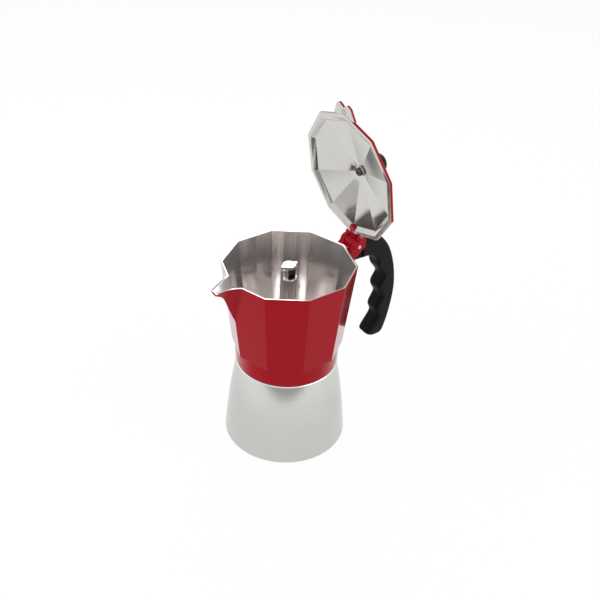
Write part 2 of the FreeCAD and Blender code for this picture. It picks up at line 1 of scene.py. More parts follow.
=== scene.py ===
# %% [markdown]
# # A six-cup moka pot in a small white studio
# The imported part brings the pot's pieces, bodies and joints, and its sizes are fixed. This notebook gives
# the pot its looks. Large pieces that show sharp machine edges are built again with soft edges in the same
# place. Small pieces keep their CAD shape and only get a finish. Every length is in metres.

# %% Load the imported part
import math

import bmesh
import bpy
from mathutils import Matrix, Quaternion, Vector


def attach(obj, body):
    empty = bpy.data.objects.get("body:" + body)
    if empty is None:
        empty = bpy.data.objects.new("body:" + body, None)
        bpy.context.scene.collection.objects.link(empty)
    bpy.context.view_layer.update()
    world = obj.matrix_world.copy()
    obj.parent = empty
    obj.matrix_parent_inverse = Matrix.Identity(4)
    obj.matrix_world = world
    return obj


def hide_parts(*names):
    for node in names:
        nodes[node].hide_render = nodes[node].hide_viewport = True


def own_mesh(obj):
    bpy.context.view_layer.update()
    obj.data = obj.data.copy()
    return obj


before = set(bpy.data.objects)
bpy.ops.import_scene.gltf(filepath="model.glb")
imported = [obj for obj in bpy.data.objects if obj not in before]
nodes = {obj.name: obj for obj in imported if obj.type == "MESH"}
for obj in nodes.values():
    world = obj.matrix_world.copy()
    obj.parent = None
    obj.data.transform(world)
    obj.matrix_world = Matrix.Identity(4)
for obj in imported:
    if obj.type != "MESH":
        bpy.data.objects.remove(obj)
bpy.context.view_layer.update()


# %% [markdown]
# ## The camera
# The photograph looks down into the open jug from the side of its spout. A camera can be set by eye, but
# then few edges fall in their place. This one was fitted to points of the pot, such as the corners of the
# rim and of the lid, so its place, its direction and a slight roll are known. A camera looks along its own
# -Z axis, so to_track_quat points Z from the pot back to the camera and keeps Y up.

# %% Camera
camera_place = Vector((-0.35579, -0.50444, 0.55519))
camera_azimuth = math.radians(-126.089)
camera_elevation = math.radians(34.360)
camera_roll = math.radians(2.314)
lens_mm = 54.876
sensor_mm = 36.0


def add_object(name, data):
    """A new object in the scene that shows this data."""
    made = bpy.data.objects.new(name, data)
    bpy.context.scene.collection.objects.link(made)
    return made


towards_camera = Vector((
    math.cos(camera_elevation) * math.cos(camera_azimuth),
    math.cos(camera_elevation) * math.sin(camera_azimuth),
    math.sin(camera_elevation),
))
level = towards_camera.to_track_quat("Z", "Y")
camera_data = bpy.data.cameras.new("photo_camera")
camera_data.lens = lens_mm
camera_data.sensor_width = sensor_mm
camera = add_object("photo_camera", camera_data)
camera.location = camera_place
camera.rotation_euler = (level @ Quaternion((0, 0, 1), camera_roll)).to_euler()
bpy.context.scene.camera = camera
print("camera looks down by", round(math.degrees(camera_elevation), 1), "degrees")

# %% [markdown]
# ## Writing shaders as sums
# A finish is a small network of nodes. It can be drawn by hand in the shader editor, but a long chain of
# Math nodes is slow to read there. Here a class holds a node's output and lets Python's own signs add the
# Math nodes, so a roughness reads as a plain sum.


# %% Wires
class Wire:
    """A node's output socket that can be used in a sum."""

    def __init__(self, finish, socket):
        self.finish = finish
        self.socket = socket

    def reckon(self, operation, first, second):
        return self.finish.add("ShaderNodeMath", {"operation": operation}, {0: first, 1: second})

    def __add__(self, other):
        return self.reckon("ADD", self, other)

    def __sub__(self, other):
        return self.reckon("SUBTRACT", self, other)

    def __rsub__(self, other):
        return self.reckon("SUBTRACT", other, self)

    def __mul__(self, other):
        return self.reckon("MULTIPLY", self, other)

    __radd__ = __add__
    __rmul__ = __mul__


print("plus, minus and times add Math nodes")

# %% [markdown]
# ## One method for every other node
# Noise, ramps, bumps and the rest all come from one method, add. It takes the node's type, its settings,
# and what goes into its sockets, where a wire becomes a link and a number becomes a value. On top of it
# stand four short methods for what nearly every finish of this pot needs: noise, a blend of two colours, a
# bump and the surface.


# %% Finishes
def set_stops(ramp, stops):
    while len(ramp.elements) < len(stops):
        ramp.elements.new(1.0)
    for element, (position, color) in zip(ramp.elements, stops):
        element.position = position
        element.color = color


class Finish:
    """The node tree of a material or of the world, written one line at a time."""

    def __init__(self, owner):
        owner.use_nodes = True
        self.owner = owner
        self.tree = owner.node_tree
        self.tree.nodes.clear()

    def add(self, kind, settings=None, inputs=None, output=0):
        node = self.tree.nodes.new(kind)
        for key, value in (settings or {}).items():
            if key == "stops":
                set_stops(node.color_ramp, value)
            else:
                setattr(node, key, value)
        for key, value in (inputs or {}).items():
            if isinstance(value, Wire):
                self.tree.links.new(value.socket, node.inputs[key])
            else:
                node.inputs[key].default_value = value
        if node.outputs:
            return Wire(self, node.outputs[output])
        return None

    def noise(self, scale, stretch=(1, 1, 1), detail=3.0):
        """Soft noise on the piece itself, in spots per metre. A small stretch draws them out on an axis."""
        place = self.add("ShaderNodeTexCoord", output="Object")
        squeezed = self.add("ShaderNodeMapping", inputs={"Vector": place, "Scale": stretch})
        return self.add("ShaderNodeTexNoise", inputs={"Vector": squeezed, "Scale": scale, "Detail": detail})

    def blend(self, share, first, second):
        """A colour between two, by a share from 0 to 1."""
        inputs = {"Factor": share, 6: first, 7: second}
        return self.add("ShaderNodeMix", {"data_type": "RGBA"}, inputs, output=2)

    def bump(self, height, depth):
        return self.add("ShaderNodeBump", inputs={"Height": height, "Distance": depth, "Strength": 1.0})

    def shade(self, inputs):
        surface = self.add("ShaderNodeBsdfPrincipled", inputs=inputs)
        self.add("ShaderNodeOutputMaterial", inputs={"Surface": surface})
        return self.owner


def new_finish(name):
    return Finish(bpy.data.materials.new(name))


print("shader helpers ready")

# %% [markdown]
# ## Red lacquer
# The jug and the lid are cast aluminium with a thick gloss lacquer outside. It is a red base under a clear
# coat. A coat of one strength would grey the red all over, so Layer Weight makes it strong only where a
# side is seen edge-on, where the real one mirrors the white sheet. Lacquer isn't perfectly flat: it dries
# into a faint orange peel, a few millimetres across, and handling leaves a little haze. Both are soft
# noise, one in the bump and one in the roughness. The colour drifts very slightly, as it does where the
# lacquer is thicker.


# %% Red lacquer
def make_red_lacquer():
    finish = new_finish("red_lacquer")
    drift = finish.noise(18, detail=2.0)
    peel = finish.noise(420, detail=1.0)
    haze = finish.noise(60, detail=4.0)
    turned_away = finish.add("ShaderNodeLayerWeight", inputs={"Blend": 0.5}, output="Facing")
    edge_on = {"Value": turned_away, "From Min": 0.45, "From Max": 0.85, "To Min": 0.0, "To Max": 0.76}
    return finish.shade({
        "Base Color": finish.blend(drift, (0.29, 0.003, 0.010, 1), (0.255, 0.002, 0.008, 1)),
        "Roughness": 0.11 + 0.09 * haze,
        "Specular IOR Level": 0.1,
        "Coat Weight": finish.add("ShaderNodeMapRange", inputs=edge_on),
        "Coat Roughness": 0.06,
        "Coat IOR": 1.95,
        "Normal": finish.bump(peel, 0.00001),
    })


red_lacquer = make_red_lacquer()
print("made", red_lacquer.name)

# %% [markdown]
# ## Bare aluminium inside
# The same castings are bare inside. The jug's walls leave the mould upwards, which draws fine upright
# streaks, so that noise is drawn out along Z. The lid is only tumbled, so its noise is the same in all
# directions. An image of streaks would need a seam and a fixed size, and noise has neither.


# %% Drawn and tumbled aluminium
def make_drawn_aluminium():
    finish = new_finish("drawn_aluminium")
    streak = finish.noise(520, stretch=(1, 1, 0.02), detail=4.0)
    broad = finish.noise(90, stretch=(1, 1, 0.05), detail=2.0)
    patches = finish.noise(35, detail=4.0)
    return finish.shade({
        "Base Color": finish.blend(patches, (0.785, 0.75, 0.737, 1), (0.835, 0.803, 0.79, 1)),
        "Metallic": 0.9,
        "Roughness": 0.08 + 0.05 * streak,
        "Normal": finish.bump(0.5 * streak + broad, 0.000003),
    })


def make_tumbled_aluminium():
    finish = new_finish("tumbled_aluminium")
    grain = finish.noise(900, detail=3.0)
    cloud = finish.noise(45, detail=4.0)
    return finish.shade({
        "Base Color": finish.blend(cloud, (0.58, 0.57, 0.54, 1), (0.63, 0.62, 0.59, 1)),
        "Metallic": 1.0,
        "Roughness": 0.07 + 0.06 * cloud + 0.03 * grain,
        "Normal": finish.bump(grain, 0.000005),
    })


drawn_aluminium = make_drawn_aluminium()
tumbled_aluminium = make_tumbled_aluminium()
print("made", drawn_aluminium.name, "and", tumbled_aluminium.name)

# %% [markdown]
# ## Satin and bright aluminium outside
# The boiler is satin: turned on a lathe, then blasted, so very fine rings run round it under an even
# grain. It is still smooth enough to mirror the floor's painted dark reflection of the room, past a line in
# front of the pot, as a soft shade under the band. The inside of the spout has the same recipe, but is
# rougher, as it comes from the mould. The ring at the seam is turned and left bright.


# %% Satin and bright aluminium
def make_satin_aluminium(name, roughness):
    finish = new_finish(name)
    blast = finish.noise(2600, detail=2.0)
    rings = finish.noise(900, stretch=(0.02, 0.02, 1), detail=3.0)
    cloud = finish.noise(40, detail=4.0)
    return finish.shade({
        "Base Color": finish.blend(cloud, (0.62, 0.625, 0.60, 1), (0.68, 0.685, 0.66, 1)),
        "Metallic": 1.0,
        "Roughness": roughness + 0.05 * rings + 0.03 * blast,
        "Normal": finish.bump(blast + 0.8 * rings, 0.000018),
    })


def make_bright_aluminium():
    finish = new_finish("bright_aluminium")
    rings = finish.noise(1400, stretch=(0.02, 0.02, 1), detail=3.0)
    cloud = finish.noise(60, detail=4.0)
    return finish.shade({
        "Base Color": finish.blend(cloud, (0.90, 0.90, 0.89, 1), (0.96, 0.96, 0.95, 1)),
        "Metallic": 1.0,
        "Roughness": 0.16 + 0.1 * rings,
        "Normal": finish.bump(rings, 0.000008),
    })


satin_aluminium = make_satin_aluminium("satin_aluminium", 0.12)
cast_aluminium = make_satin_aluminium("cast_aluminium", 0.34)
bright_aluminium = make_bright_aluminium()
print("made", satin_aluminium.name, cast_aluminium.name, "and", bright_aluminium.name)

# %% [markdown]
# ## Painted shade and rolled aluminium
# The column's bore and the web between its windows are painted nearly black, as painted shade for the dark
# inside of the column. A plain black would look like a hole in the picture, so the painted shade is a dark,
# patchy metal that still catches a little light. The funnel and the filters are pressed from rolled sheet,
# whose grain runs one way.


# %% Painted shade and sheet aluminium
# Painted shade: a dark, patchy metal for the column's bore and the web in its windows
def make_painted_shade_aluminium():
    finish = new_finish("painted_shade_aluminium")
    patches = finish.noise(300, detail=4.0)
    return finish.shade({
        "Base Color": finish.blend(patches, (0.030, 0.026, 0.022, 1), (0.065, 0.058, 0.052, 1)),
        "Metallic": 0.7,
        "Roughness": 0.45 + 0.2 * patches,
        "Normal": finish.bump(patches, 0.00003),
    })


def make_sheet_aluminium():
    finish = new_finish("sheet_aluminium")
    rolled = finish.noise(1500, stretch=(0.03, 1, 1), detail=3.0)
    cloud = finish.noise(60, detail=4.0)
    return finish.shade({
        "Base Color": finish.blend(cloud, (0.66, 0.66, 0.65, 1), (0.78, 0.78, 0.77, 1)),
        "Metallic": 1.0,
        "Roughness": 0.34 + 0.14 * rolled,
        "Normal": finish.bump(rolled, 0.00002),
    })


painted_shade_aluminium = make_painted_shade_aluminium()
sheet_aluminium = make_sheet_aluminium()
print("made", painted_shade_aluminium.name, "and", sheet_aluminium.name)

# %% [markdown]
# ## Moulded black plastic
# The handle and the knob are moulded in a heat-proof black plastic. The mould is finely grained, and where
# its halves meet it leaves a thin line down the middle of the handle. A line that fine isn't worth any
# faces, so it is a narrow band of the piece's own Y coordinate, raised in the bump. The knob has none.


# %% Black moulding
line_half = 0.0001
line_fades_out = 0.0003


def make_black_moulding(name, line_height):
    finish = new_finish(name)
    grain = finish.noise(1800, detail=2.0)
    worn = finish.noise(70, detail=4.0)
    place = finish.add("ShaderNodeTexCoord", output="Object")
    side = finish.add("ShaderNodeSeparateXYZ", inputs={"Vector": place}, output="Y")
    off_middle = finish.add("ShaderNodeMath", {"operation": "ABSOLUTE"}, {0: side})
    band = {"Value": off_middle, "From Min": line_half, "From Max": line_fades_out}
    line = finish.add("ShaderNodeMapRange", inputs=band | {"To Min": 1.0, "To Max": 0.0})
    return finish.shade({
        "Base Color": finish.blend(worn, (0.006, 0.0055, 0.005, 1), (0.0095, 0.009, 0.008, 1)),
        "Roughness": 0.42 + 0.16 * worn,
        "Specular IOR Level": 0.09,
        "Normal": finish.bump(grain + line_height * line, 0.00004),
    })


black_handle = make_black_moulding("black_handle", 2.5)
black_knob = make_black_moulding("black_knob", 0.0)
print("made", black_handle.name, "and", black_knob.name)

# %% [markdown]
# ## Finishes of the small pieces
# Screws, washers and pins are bright plated steel with fine scratches, but the knob's screw is a darker,
# duller steel. The valve and the knob's insert are turned brass, the gasket is white rubber, and the
# valve's seal is pressed fibre.
# They follow one recipe: two colours that mix by a soft cloud, and a roughness and a bump from a finer
# grain. One function makes them all, and the CAD pieces keep their shapes.


# %% Small finishes
def make_small_finish(name, dark, light, metal, roughness, grain_scale, grain_depth):
    finish = new_finish(name)
    grain = finish.noise(grain_scale, detail=3.0)
    cloud = finish.noise(150, detail=4.0)
    return finish.shade({
        "Base Color": finish.blend(cloud, dark, light),
        "Metallic": metal,
        "Roughness": roughness + 0.12 * grain,
        "Normal": finish.bump(grain, grain_depth),
    })


bright_steel = make_small_finish(
    "bright_steel", (0.52, 0.52, 0.53, 1), (0.66, 0.66, 0.67, 1), 1.0, 0.2, 2500, 0.00001)
dull_steel = make_small_finish(
    "dull_steel", (0.09, 0.085, 0.08, 1), (0.16, 0.15, 0.145, 1), 1.0, 0.34, 2500, 0.00002)
turned_brass = make_small_finish(
    "turned_brass", (0.60, 0.40, 0.15, 1), (0.74, 0.52, 0.22, 1), 1.0, 0.24, 2200, 0.00001)
white_rubber = make_small_finish(
    "white_rubber", (0.72, 0.70, 0.64, 1), (0.80, 0.785, 0.73, 1), 0.0, 0.55, 1400, 0.00003)
red_fibre = make_small_finish(
    "red_fibre", (0.20, 0.035, 0.02, 1), (0.32, 0.06, 0.035, 1), 0.0, 0.7, 1800, 0.00005)
small_finishes = {
    "hinge_pin": bright_steel,
    "handle_screw": bright_steel,
    "handle_washer": bright_steel,
    "knob_washer": bright_steel,
    "knob_screw": dull_steel,
    "knob_insert": turned_brass,
    "valve_body": turned_brass,
    "valve_cap": turned_brass,
    "valve_poppet": turned_brass,
    "valve_spring": bright_steel,
    "valve_washer": red_fibre,
    "gasket": white_rubber,
    "funnel": sheet_aluminium,
    "funnel_screen": sheet_aluminium,
    "filter_plate": sheet_aluminium,
}
for node_name, material in small_finishes.items():
    for place in nodes[node_name].material_slots:
        place.material = material
print("dressed", len(small_finishes), "CAD pieces")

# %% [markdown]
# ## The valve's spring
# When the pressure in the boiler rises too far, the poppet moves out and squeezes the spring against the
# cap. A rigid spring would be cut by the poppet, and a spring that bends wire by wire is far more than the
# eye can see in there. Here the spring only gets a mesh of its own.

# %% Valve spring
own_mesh(nodes["valve_spring"])

# %% [markdown]
# ## Tools for building shapes
# A bmesh is a mesh under construction. Blender's own spin and extrude tools could shape it, but points
# that come from named sizes are easier to check against the CAD. Four helpers do most of the work: skin
# makes one face, bridge joins two rings of points, turned spins a profile as a lathe does, and block pulls
# a flat outline straight.

# %% Shape helpers
lathe_steps = 160


def skin(shape, corners, paint):
    """One face round these points, if at least three of them are different."""
    loop = list(dict.fromkeys(corners))
    if len(loop) > 2:
        face = shape.faces.new(loop)
        face.material_index = paint
        face.smooth = True


def bridge(shape, first, second, paint):
    for number in range(len(first)):
        after = (number + 1) % len(first)
        skin(shape, (first[number], first[after], second[after], second[number]), paint)


def points(shape, places):
    return [shape.verts.new(place) for place in places]


def turned(shape, profile, paint, steps=lathe_steps):
    """Spins (radius, height) pairs round the upright axis, and joins the last pair to the first."""
    rings = []
    for radius, height in profile:
        if radius == 0:
            rings.append(points(shape, [(0, 0, height)]) * steps)
        else:
            angles = [math.tau * number / steps for number in range(steps)]
            places = [(radius * math.cos(angle), radius * math.sin(angle), height) for angle in angles]
            rings.append(points(shape, places))
    for first, second in zip(rings, rings[1:] + rings[:1]):
        bridge(shape, first, second, paint)


def upright(across, along, height):
    return Vector((across, along, height))


def sideways(across, height, along):
    return Vector((across, along, height))


def block(shape, outline, low, high, place, paint, low_paint=None):
    """Pulls a flat outline straight from low to high. place says how the outline lies in space."""
    first = points(shape, [place(pair[0], pair[1], low) for pair in outline])
    second = points(shape, [place(pair[0], pair[1], high) for pair in outline])
    bridge(shape, first, second, paint)
    skin(shape, first, paint if low_paint is None else low_paint)
    skin(shape, second, paint)


def arc(centre, radius, start, end, steps):
    """Points on an arc, with its angles in degrees."""
    places = []
    for number in range(steps + 1):
        angle = math.radians(start + (end - start) * number / steps)
        places.append((centre[0] + radius * math.cos(angle), centre[1] + radius * math.sin(angle)))
    return places


print("shape helpers ready")

# %% [markdown]
# ## From mesh to piece
# Castings and mouldings have no knife edges. Each edge could be rounded by hand, but the meshes stay small
# and easy to read if they are built sharp. A Bevel modifier then rounds every edge sharper than 30
# degrees, and Weighted Normal keeps the large faces flat, so that only the rounded strips catch the light.
# The same function says which body the piece rides on and which CAD node it stands for.

# %% Pieces with soft edges
sharp_angle = math.radians(30)
bevel_segments = 3


def finished_mesh(name, shape):
    mesh = bpy.data.meshes.new(name)
    shape.to_mesh(mesh)
    shape.free()
    return mesh


def place_piece(name, shape, body, finishes, edge_round, replaced):
    """Turns the shape into an object with soft edges that rides on a body and stands for a CAD node."""
    bmesh.ops.recalc_face_normals(shape, faces=shape.faces)
    mesh = finished_mesh(name, shape)
    for finish in finishes:
        mesh.materials.append(finish)
    piece = add_object(name, mesh)
    soften = piece.modifiers.new("soft_edges", "BEVEL")
    soften.width = edge_round
    soften.segments = bevel_segments
    soften.limit_method = "ANGLE"
    soften.angle_limit = sharp_angle
    soften.use_clamp_overlap = False
    flatten = piece.modifiers.new("flat_faces", "WEIGHTED_NORMAL")
    flatten.keep_sharp = True
    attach(piece, body)
    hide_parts(replaced)
    print(name, "faces:", len(mesh.polygons))
    return piece


print("edges sharper than", round(math.degrees(sharp_angle)), "degrees will be rounded")

# %% [markdown]
# ## Screw threads
# The boiler's neck and the jug's band screw together. A thread could be cut with a boolean, which is slow
# and leaves ragged faces. Here it is a ridge of its own on a plain cylinder: one section that climbs as it
# goes round, and fades in and out at its ends.

# %% Threads
thread_pitch = 0.003
thread_turns = 2.5
steps_per_turn = 72
fade_steps = 24
root_half_share = 0.36
crest_half_share = 0.1


def thread_ridge(shape, root, crest, foot, paint):
    """A ridge that winds up a cylinder of radius root, out or in to radius crest."""
    steps = int(thread_turns * steps_per_turn)
    before = None
    for number in range(steps + 1):
        angle = math.tau * number * thread_turns / steps
        height = foot + thread_pitch * angle / math.tau
        fade = min(1.0, number / fade_steps, (steps - number) / fade_steps)
        top = root + (crest - root) * fade
        section = [(root, -root_half_share), (top, -crest_half_share)]
        section += [(top, crest_half_share), (root, root_half_share)]
        places = []
        for radius, rise in section:
            places.append((radius * math.cos(angle), radius * math.sin(angle), height + rise * thread_pitch))
        ring = points(shape, places)
        if before:
            for corner in range(len(ring) - 1):
                after = corner + 1
                skin(shape, (before[corner], before[after], ring[after], ring[corner]), paint)
        before = ring


print("thread of", thread_turns, "turns,", thread_pitch, "m apart")

# %% [markdown]
# ## The boiler
# The lower half is one turned aluminium vessel: a flat base, a bell-shaped side, a bright ring where the
# jug meets it, and a threaded neck. It could be modelled from a cylinder, but a profile on the lathe is
# how the real one is made, and it keeps each radius in sight. The side is a straight line with a small bow
# added, 4 t (1 - t), which is zero at both ends. The ring is a half-round bead. The boss for the valve is
# a short turned disc that is tipped on to its side.

# %% Boiler
base_radius = 0.0526
shoulder_radius = 0.0427
boiler_height = 0.075
boiler_bow = 0.0012
boiler_wall = 0.0028
boiler_floor = 0.004
base_round = 0.0016
hollow_low = 0.006
hollow_high = 0.067
ring_radius = 0.0434
ring_overlap = 0.0003
seam_top = 0.0764
neck_top = 0.088
neck_foot_inside = 0.0722
neck_root = 0.0372
neck_crest = 0.038
neck_bore = 0.0346
neck_thread_foot = 0.0794
valve_height = 0.046
boss_radius = 0.0085
boss_root = 0.044
boss_face = 0.0497
boiler_round = 0.0003
satin, bright = 0, 1


def bell(inset, low, high, steps):
    """The boiler's side from low to high, moved in by inset."""
    pairs = []
    for number in range(steps + 1):
        height = low + (high - low) * number / steps
        share = height / boiler_height
        radius = base_radius + (shoulder_radius - base_radius) * share + 4 * boiler_bow * share * (1 - share)
        pairs.append((radius - inset, height))
    return pairs


def add_vessel(shape):
    outside = [(0, 0)] + arc((base_radius - base_round, base_round), base_round, -90, 0, 8)
    outside += bell(0, base_round, boiler_height, 24)[1:]
    outside += [(neck_root, boiler_height), (neck_root, neck_top)]
    inside = [(neck_bore, neck_top), (neck_bore, neck_foot_inside)]
    inside += bell(boiler_wall, hollow_low, hollow_high, 16)[::-1]
    inside += [(base_radius - boiler_wall - base_round, boiler_floor), (0, boiler_floor)]
    turned(shape, outside + inside, satin)


def add_ring(shape):
    bead = (seam_top - boiler_height + ring_overlap) / 2
    bulge = arc((ring_radius - bead, seam_top - bead), bead, -90, 90, 10)
    turned(shape, [(neck_root, boiler_height - ring_overlap)] + bulge + [(neck_root, seam_top)], bright)


def add_boss(shape):
    boss = bmesh.new()
    disc = [(0, boss_root), (boss_radius, boss_root), (boss_radius, boss_face), (0, boss_face)]
    turned(boss, disc, satin, steps=64)
    tip_over = Matrix.Translation((0, 0, valve_height)) @ Matrix.Rotation(math.radians(-90), 4, "X")
    bmesh.ops.transform(boss, matrix=tip_over, verts=boss.verts)
    boss_mesh = finished_mesh("boss", boss)
    shape.from_mesh(boss_mesh)
    bpy.data.meshes.remove(boss_mesh)


def make_boiler():
    shape = bmesh.new()
    add_vessel(shape)
    add_ring(shape)
    thread_ridge(shape, neck_root, neck_crest, neck_thread_foot, satin)
    add_boss(shape)
    finishes = [satin_aluminium, bright_aluminium]
    place_piece("boiler_vessel", shape, "base", finishes, boiler_round, "boiler")


make_boiler()

# %% [markdown]
# ## Smooth rows of points
# The spout's keel, the knob and the handle are curves that nobody drew with a compass. Arcs would need
# many centres and radii. A Catmull-Rom curve passes through every point it is given, so a few measured
# points are enough, and each one stays where it was put.


# %% Smooth rows
def smooth_row(given, steps):
    """Points on a Catmull-Rom curve through the given ones, with steps pieces between two of them."""
    ends = [given[0] * 2 - given[1]] + given + [given[-1] * 2 - given[-2]]
    row = []
    for before, first, second, after in zip(ends, ends[1:], ends[2:], ends[3:]):
        for number in range(steps):
            share = number / steps
            bend = (before * 2 - first * 5 + second * 4 - after) * share
            curl = (first * 3 - before - second * 3 + after) * share * share
            row.append(first + (second - before + bend + curl) * (share / 2))
    return row + [given[-1]]


print("smooth rows ready")

# %% [markdown]
# ## The spout
# The jug has ten flat sides that widen towards the rim, with a corner under the hinge and one under the
# spout. The spout is pulled out of its corner like a bird's beak. It could be sculpted, but it would then
# have no exact wall. Here its lip and its keel are two short rows of points from the wall to the tip: the
# lip bows a little, and the keel bends at a knee. The inner side is the same beak, moved in by an inset.

# %% Spout
side_count = 10
side_angle = math.tau / side_count
half_side = side_angle / 2
facet_foot = 0.0927
rim = 0.168
foot_corner = 0.0463
rim_corner = 0.055
spout_half = 0.0115
spout_tip_half = 0.0044
keel_tip_half = 0.0022
spout_reach = 0.0146
spout_drop = 0.0033
spout_thickness = 0.0024
spout_root = 0.1299
spout_knee = Vector((-0.0617, 0.0009, 0.1568))
lip_bow = 0.0011
beak_steps = 9
# These four say how far a point of the inner beak moves, in shares of the inset
lip_narrowing = 0.6
keel_narrowing = 0.4
knee_rise = 0.5
root_rise = 3.0


def corner_at(height):
    return foot_corner + (rim_corner - foot_corner) * (height - facet_foot) / (rim - facet_foot)


def beak(inset, wall):
    """The lip and the keel of the spout's left half, from the jug's wall to the tip."""
    top_corner = corner_at(rim) - wall / math.cos(half_side)
    half = spout_half - inset
    share = half / (top_corner * math.sin(side_angle))
    lip_start = Vector((top_corner * (share * (1 - math.cos(side_angle)) - 1), half, rim))
    tip_x = inset - rim_corner - spout_reach
    lip_end = Vector((tip_x, spout_tip_half - lip_narrowing * inset, rim - spout_drop))
    root_height = spout_root + root_rise * inset
    keel_start = Vector((wall / math.cos(half_side) - corner_at(root_height), 0, root_height))
    keel_height = rim - spout_drop - spout_thickness + inset
    keel_end = Vector((tip_x, keel_tip_half - keel_narrowing * inset, keel_height))
    knee = spout_knee + Vector((inset, -keel_narrowing * inset, knee_rise * inset))
    keel = smooth_row([keel_start, keel_start.lerp(knee, 0.5), knee, keel_end], beak_steps // 3)
    lip = []
    for number in range(beak_steps + 1):
        along = number / beak_steps
        bow = 4 * along * (1 - along)
        lip.append(lip_start.lerp(lip_end, along) + Vector((0, -lip_bow, lip_bow)) * bow)
    return lip, keel


print("rim corner radius", rim_corner, "spout reaches to", round(-rim_corner - spout_reach, 4))

# %% [markdown]
# ## The jug's walls
# Each flat side is a single face, so it stays perfectly flat. A Solidify modifier could give the
# thickness, but the floor and the spout's inside follow sizes of their own. Here the inside is built like
# the outside, from the same outline moved in by the wall. Two rings of faces between them make the rim:
# nearly a third of it, outside, is still lacquered, and the rest is bare.

# %% Jug walls
jug_wall = 0.0016
jug_floor = 0.0995
spout_wall = 0.0015
lacquered_rim = 0.3
spout_corner = side_count // 2
# The third finish is the painted shade inside the column
red, bare, painted_shade, cast = 0, 1, 2, 3


def corners(radius, height):
    angles = [number * side_angle for number in range(side_count)]
    return [Vector((radius * math.cos(angle), radius * math.sin(angle), height)) for angle in angles]


def mirrored(places):
    return [Vector((place.x, -place.y, place.z)) for place in places]


def beak_sides(shape, left_lip, right_lip, left_keel, right_keel, paint):
    """The spout's two cheeks, the narrow face along its keel, and the end at its tip."""
    rows = [(left_lip, left_keel), (right_lip, right_keel), (left_keel, right_keel)]
    for number in range(beak_steps):
        onward = number + 1
        for upper, lower in rows:
            skin(shape, (upper[number], upper[onward], lower[onward], lower[number]), paint)
    skin(shape, (left_lip[-1], left_keel[-1], right_keel[-1], right_lip[-1]), paint)


def shell_side(shape, foot_height, inset, wall, paint, beak_paint):
    """One side of the jug's wall, outer or inner. It returns the points round its upper edge."""
    slant = wall / math.cos(half_side)
    low = points(shape, corners(corner_at(foot_height) - slant, foot_height))
    rim_places = corners(corner_at(rim) - slant, rim)
    left = points(shape, rim_places[:spout_corner])
    right = points(shape, rim_places[spout_corner + 1:])
    lip, keel = beak(inset, wall)
    left_lip = points(shape, lip)
    right_lip = points(shape, mirrored(lip))
    root = shape.verts.new(keel[0])
    left_keel = [root] + points(shape, keel[1:])
    right_keel = [root] + points(shape, mirrored(keel[1:]))
    before, under, beyond = low[spout_corner - 1:spout_corner + 2]
    right_low = low[spout_corner + 1:]
    for number in range(len(left) - 1):
        onward = number + 1
        skin(shape, (low[number], low[onward], left[onward], left[number]), paint)
    for number in range(len(right) - 1):
        onward = number + 1
        skin(shape, (right_low[number], right_low[onward], right[onward], right[number]), paint)
    skin(shape, (low[-1], low[0], left[0], right[-1]), paint)
    skin(shape, (before, under, root, left_lip[0], left[-1]), paint)
    skin(shape, (beyond, under, root, right_lip[0], right[0]), paint)
    beak_sides(shape, left_lip, right_lip, left_keel, right_keel, beak_paint)
    skin(shape, low, bare)
    return left + left_lip + right_lip[::-1] + right


def add_walls(shape):
    outer_edge = shell_side(shape, facet_foot, 0.0, 0.0, red, red)
    inner_edge = shell_side(shape, jug_floor, spout_wall, jug_wall, bare, cast)
    pairs = zip(outer_edge, inner_edge)
    painted_edge = points(shape, [outer.co.lerp(inner.co, lacquered_rim) for outer, inner in pairs])
    bridge(shape, outer_edge, painted_edge, red)
    bridge(shape, painted_edge, inner_edge, bare)


print("jug wall", jug_wall, "m, floor at", jug_floor, "m")

# %% [markdown]
# ## The band
# Under the flat sides runs a round red band with the thread inside it. It is part of the same casting. A
# boolean union would be exact, but the band, the hinge and the column all overlap the walls a little, so
# they can simply be added to the same mesh.

# %% Band
band_foot = 0.0767
band_foot_radius = 0.0434
band_top_radius = 0.0439
band_edge = 0.0006
ceiling = 0.093
thread_root = 0.0391
thread_crest = 0.0383
band_thread_foot = 0.0797


def add_band(shape):
    turned(shape, [
        (thread_root, band_foot),
        (band_foot_radius - band_edge, band_foot),
        (band_foot_radius, band_foot + band_edge),
        (band_top_radius, facet_foot + band_edge),
        (neck_bore, facet_foot + band_edge),
        (neck_bore, ceiling),
        (thread_root, ceiling),
    ], red)
    thread_ridge(shape, thread_root, thread_crest, band_thread_foot, bare)


print("band from", band_foot, "to", facet_foot, "m")

# %% [markdown]
# ## The hinge
# At the back stand the hinge's two ears. Their outline is an arc over the pin, a short post on the
# handle's side, and a slope down to the wall. A low saddle between them leaves room for the lid's knuckle,
# and under it a flat tang reaches into the handle. All are flat plates, so an outline that is pulled
# straight makes each of them.

# %% Hinge
hinge_x = 0.0632
hinge_z = 0.168
ear_radius = 0.0053
ear_face = 0.0697
ear_inner = 0.00495
ear_outer = 0.00995
ear_root_depth = 0.003
ear_back_depth = 0.0017
ear_back_drop = 0.005
post_top = 0.176
post_bend = 0.0015
slope_top = 0.1668
slope_foot = 0.1525
slope_overlap = 0.002
slot_back = 0.05785
slot_floor = 0.16265
slot_root_depth = 0.001
slot_top_gap = 0.0004
tang_low = 0.15795
tang_high = 0.16225
tang_half = 0.004
tang_end = 0.0847


